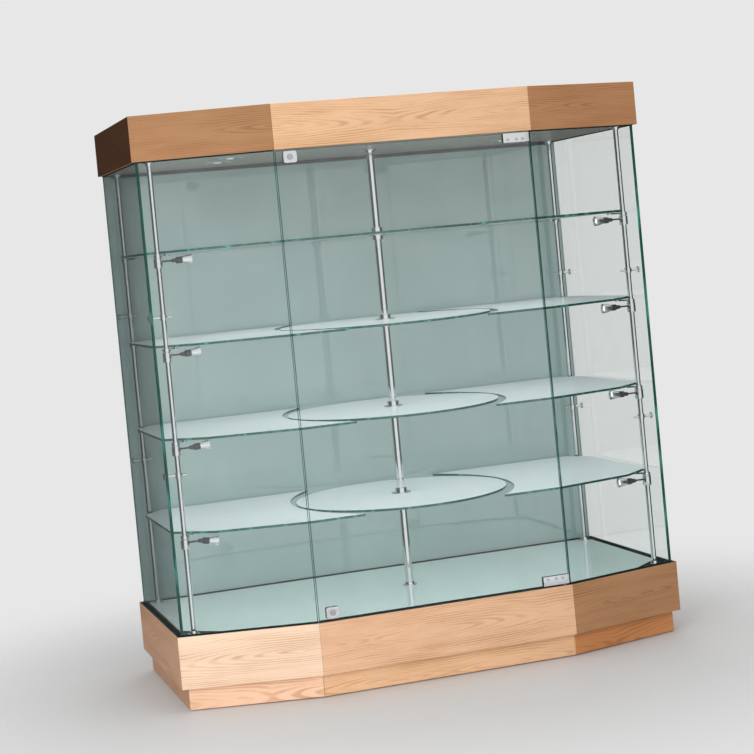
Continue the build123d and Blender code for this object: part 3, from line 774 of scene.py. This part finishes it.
class BuildPoles(bpy.types.Operator):
    """Chrome poles, end flanges, disc hubs, shelf clamps and glass stand-offs"""

    bl_idname = "display_case.poles"
    bl_label = "Poles and fittings"

    def execute(self, context):
        sizes = context.scene.case_sizes
        for node_name in ("poles_front", "poles_back", "pole_centre"):
            self.make_tubes(node_name, sizes)
        for node_name in ("pole_flanges", "disc_hubs", "shelf_brackets", "glass_connectors"):
            eased_piece(node_name, ("polished_chrome",), sizes.metal_ease)
        return {"FINISHED"}

    def make_tubes(self, node_name, sizes):
        """Round tubes with lightly rounded ends."""
        low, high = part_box(node_name)
        length = high.z - low.z
        edge = sizes.metal_ease
        feet, radius = pole_feet(node_name)
        outline = (
            (0, 0), (radius - edge, 0), (radius, edge), (radius, length - edge),
            (radius - edge, length), (0, length),
        )
        shape = bmesh.new()
        for foot in feet:
            turn(shape, outline, foot, (0, 0, 1), sizes.round_steps)
        add_finished(node_name, "tubes", shape, ("polished_chrome",))


class BuildSpotlights(bpy.types.Operator):
    """Collars with grub screws, lamp heads and the lamps inside them"""

    bl_idname = "display_case.spotlights"
    bl_label = "Spotlights"

    def execute(self, context):
        pole_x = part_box("poles_front")[1].x - POLE_RADIUS

        def is_stem(face):
            return abs(face.calc_center_median().x) < pole_x - COLLAR_REACH

        eased_piece("spot_collars", ("polished_chrome", "dark_chrome"), COLLAR_EASE, second=is_stem)
        pivots = {joint["child"]: Vector(joint["pos_m"]) for joint in frame["joints"]}
        for side, _ in SIDES:
            for level in LEVELS:
                head = f"spot_head_{side}_{level}"
                pivot = pivots[head]

                def is_neck(face, pivot=pivot):
                    return (face.calc_center_median() - pivot).length < NECK_REACH

                eased_piece(head, ("lamp_chrome", "dark_chrome"), SPOT_EASE, second=is_neck)
                self.make_lamp(head, pivot)
        return {"FINISHED"}

    def make_lamp(self, head, pivot):
        """A small reflector lamp: turned bowl and domed lens, set inside the bell."""
        aim = (middle_of(head) - pivot).normalized()
        seat = pivot + aim * LAMP_SEAT
        shape = bmesh.new()
        turn(shape, BOWL_OUTLINE, seat, aim, LAMP_STEPS, 0)
        turn(shape, LENS_OUTLINE, seat, aim, LAMP_STEPS, 1)
        name = head.replace("head", "lamp")
        add_piece(name, shape, ("lamp_chrome", "lamp_lens"), head)


class BuildDoorFittings(bpy.types.Operator):
    """Pivot patches, their pins and screws, and the corner locks"""

    bl_idname = "display_case.door_fittings"
    bl_label = "Door fittings"

    def execute(self, context):
        sizes = context.scene.case_sizes
        eased_piece("hinge_patches", ("satin_chrome", "dark_chrome"), PATCH_EASE, 3, second=is_rim)
        for node_name in ("hinge_pivots", "patch_screws"):
            eased_piece(node_name, ("machined_steel",), STEEL_EASE)
        self.make_lock_cases(sizes)
        for node_name in ("lock_cylinder_lower", "lock_cylinder_upper"):
            eased_piece(node_name, ("machined_steel",), STEEL_EASE)
        return {"FINISHED"}

    def make_lock_cases(self, sizes):
        """Square cases with well rounded corners."""
        shape = merged_copy("lock_bodies")
        corners = []
        for edge in sharp_edges(shape, CORNER_ANGLE):
            along = (edge.verts[0].co - edge.verts[1].co).normalized()
            if abs(along.y) > 0.99 and edge.calc_length() > CORNER_EDGE:
                corners.append(edge)
        ease(shape, corners, sizes.lock_corner, 6)
        ease(shape, sharp_edges(shape, CORNER_ANGLE), PATCH_EASE, 3)
        pick_material(shape, is_rim)
        node_name = "lock_bodies"
        body = body_of(node_name)
        piece = add_piece("lock_cases", shape, ("satin_chrome", "dark_chrome"), body)
        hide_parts(node_name)


class BuildCanopyFittings(bpy.types.Operator):
    """Downlights, the LED driver and the levelling feet"""

    bl_idname = "display_case.canopy_fittings"
    bl_label = "Downlights and feet"

    def execute(self, context):
        eased_piece("downlight_trims", ("polished_chrome",), TRIM_EASE)
        eased_piece("downlight_lamps", ("lamp_lens",), DOWNLIGHT_EASE)
        eased_piece("led_driver", ("driver_plastic",), DRIVER_EASE, 3)
        eased_piece("levelling_feet", ("foot_plastic",), FOOT_EASE)
        return {"FINISHED"}


class BuildStage(bpy.types.Operator):
    """Camera, soft lights, pale floor and plain backdrop"""

    bl_idname = "display_case.stage"
    bl_label = "Stage"

    CAMERA_PLACE = Vector((-1.9295, -6.3154, 1.4808))
    CAMERA_YAW = math.radians(16.872)
    CAMERA_PITCH = math.radians(-1.415)
    CAMERA_ROLL = math.radians(5.346)
    CAMERA_LENS = 87.63
    CAMERA_SHIFT = (-0.0011, -0.1135)

    def execute(self, context):
        colours = context.scene.case_colours
        self.make_camera(context.scene)
        self.make_world(context.scene, colours)
        self.make_floor(context.scene, colours)
        self.make_lights(context.scene)
        context.scene.view_settings.view_transform = "Standard"
        return {"FINISHED"}

    def make_camera(self, scene):
        """A long lens a little left of the middle, at eye height, held slightly askew."""
        yaw, pitch, roll = self.CAMERA_YAW, self.CAMERA_PITCH, self.CAMERA_ROLL
        forward = Vector((math.sin(yaw) * math.cos(pitch), math.cos(yaw) * math.cos(pitch), math.sin(pitch)))
        level = Vector((math.cos(yaw), -math.sin(yaw), 0))
        down = forward.cross(level)
        right = level * math.cos(roll) + down * math.sin(roll)
        up = level * math.sin(roll) - down * math.cos(roll)
        data = bpy.data.cameras.new("camera")
        data.lens = self.CAMERA_LENS
        data.shift_x, data.shift_y = self.CAMERA_SHIFT
        camera = bpy.data.objects.new("camera", data)
        turned = Matrix((right, up, -forward)).transposed().to_4x4()
        camera.matrix_world = Matrix.Translation(self.CAMERA_PLACE) @ turned
        scene.collection.objects.link(camera)
        scene.camera = camera

    def make_world(self, scene, colours):
        """Plain backdrop to the eye; in reflections a bright room with dark flags at its sides."""
        world = bpy.data.worlds.new("studio")
        room = Nodes(world)
        x, y, z = room.place("Generated")
        front = room.spread(y, -0.30, 0.10, 1.0, 0.0)
        middle_part = room.spread(room.maths("ABSOLUTE", x), 0.50, 0.78, 1.0, 0.0)
        top = room.spread(z, 0.45, 0.75)
        window = room.maths("MAXIMUM", room.times(front, middle_part), top)
        mirrored = room.blend(window, (0.035, 0.04, 0.04, 1), (0.86, 0.87, 0.88, 1))
        lit = room.maths("MAXIMUM", front, top)
        diffused = room.blend(lit, (0.34, 0.34, 0.35, 1), (0.66, 0.65, 0.64, 1))
        path = room.node("LightPath").outputs
        bounced = room.maths("GREATER_THAN", path["Diffuse Depth"], 0.5)
        reflected = room.maths("GREATER_THAN", path["Glossy Depth"], 0.5)
        colour = room.blend(reflected, opaque(colours.backdrop), mirrored)
        colour = room.blend(bounced, colour, diffused)
        background = room.node("Background", {"Color": colour, "Strength": 1.0}).outputs[0]
        room.node("OutputWorld", {0: background})
        scene.world = world

    def make_floor(self, scene, colours):
        """A round pale floor that fades into the backdrop."""
        finish = Finish("studio_floor")
        x, y, _ = finish.place()
        radius = finish.node("VectorMath", {0: finish.point(x, y)}, operation="LENGTH").outputs[1]
        fade = finish.spread(radius, *FLOOR_FADE)
        grain = finish.noise(finish.own_point(), 2, 2)
        paint = finish.blend(grain, scaled(colours.floor, 0.995), scaled(colours.floor, 1.005))
        floor = finish.principled({"Base Color": paint, "Roughness": 0.6})
        clear = finish.node("BsdfTransparent").outputs[0]
        material = finish.done(finish.mix(fade, floor, clear))
        shape = bmesh.new()
        bmesh.ops.create_circle(shape, cap_ends=True, segments=FLOOR_STEPS, radius=FLOOR_RADIUS)
        mesh = bpy.data.meshes.new("floor")
        shape.to_mesh(mesh)
        shape.free()
        mesh.materials.append(material)
        floor_object = bpy.data.objects.new("floor", mesh)
        scene.collection.objects.link(floor_object)

    def make_lights(self, scene):
        """A large key at the front left, soft fills low, above and behind, and a glow in the canopy."""
        for name, place, target, width, height, power, spread in LAMPS:
            data = bpy.data.lights.new(name, "AREA")
            data.shape = "RECTANGLE"
            data.size, data.size_y = width, height
            data.energy = power
            data.spread = math.radians(spread)
            lamp = bpy.data.objects.new(name, data)
            lamp.location = place
            lamp.visible_camera = False
            lamp.visible_glossy = False
            lamp.visible_transmission = False
            lamp.rotation_euler = (Vector(target) - Vector(place)).to_track_quat("-Z", "Y").to_euler()
            scene.collection.objects.link(lamp)


class DisplayCasePanel(bpy.types.Panel):
    """Builds the display case piece by piece"""

    bl_idname = "VIEW3D_PT_display_case"
    bl_label = "Display case"
    bl_space_type = "VIEW_3D"
    bl_region_type = "UI"
    bl_category = "Display case"

    def draw(self, context):
        for operator in OPERATORS:
            self.layout.operator(operator.bl_idname)
        for settings in (context.scene.case_sizes, context.scene.case_colours):
            for name in settings.__annotations__:
                self.layout.prop(settings, name)


OPERATORS = (
    BuildStage, BuildWoodwork, BuildGlass, BuildPanels, BuildPoles, BuildSpotlights,
    BuildDoorFittings, BuildCanopyFittings,
)
CLASSES = (CaseSizes, CaseColours) + OPERATORS + (DisplayCasePanel,)


def register():
    """Register the settings, operators and panel."""
    for cls in CLASSES:
        bpy.utils.register_class(cls)
    bpy.types.Scene.case_sizes = PointerProperty(type=CaseSizes)
    bpy.types.Scene.case_colours = PointerProperty(type=CaseColours)


def unregister():
    """Remove what register added."""
    del bpy.types.Scene.case_colours
    del bpy.types.Scene.case_sizes
    for cls in reversed(CLASSES):
        bpy.utils.unregister_class(cls)


def main():
    """Build every piece."""
    register()
    bpy.ops.display_case.stage()
    bpy.ops.display_case.woodwork()
    bpy.ops.display_case.glass()
    bpy.ops.display_case.panels()
    bpy.ops.display_case.poles()
    bpy.ops.display_case.spotlights()
    bpy.ops.display_case.door_fittings()
    bpy.ops.display_case.canopy_fittings()


if __name__ == "__main__":
    main()
